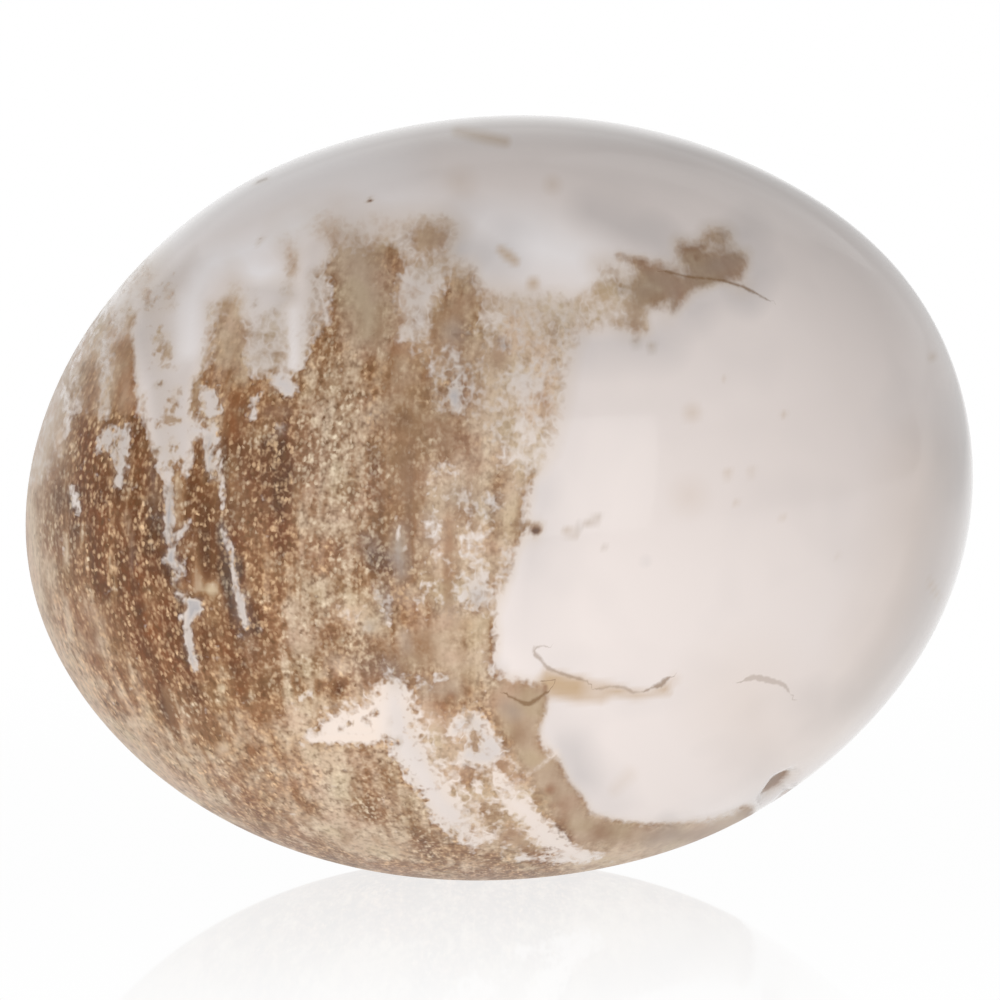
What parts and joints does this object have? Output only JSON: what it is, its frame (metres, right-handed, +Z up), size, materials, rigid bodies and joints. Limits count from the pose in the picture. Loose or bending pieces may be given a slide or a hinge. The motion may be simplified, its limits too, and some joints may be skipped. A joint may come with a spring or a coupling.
{
  "type": "tumbled petrified wood stone",
  "caption": "Smooth egg-like pebble of polished petrified wood, brown grain at one end and milky white at the other, that stands on a small worn flat.",
  "frame": {"origin": "under the middle of the pebble, on the surface that it stands on", "axes": "+X along the pebble towards its milky white end, +Y from the show side to the back, +Z up"},
  "size_m": [0.032, 0.0272, 0.0256],
  "materials": {
    "polished_petrified_wood": "high tumbled polish"
  },
  "bodies": {
    "root": {"petrified_wood": "polished_petrified_wood"}
  },
  "joints": []
}
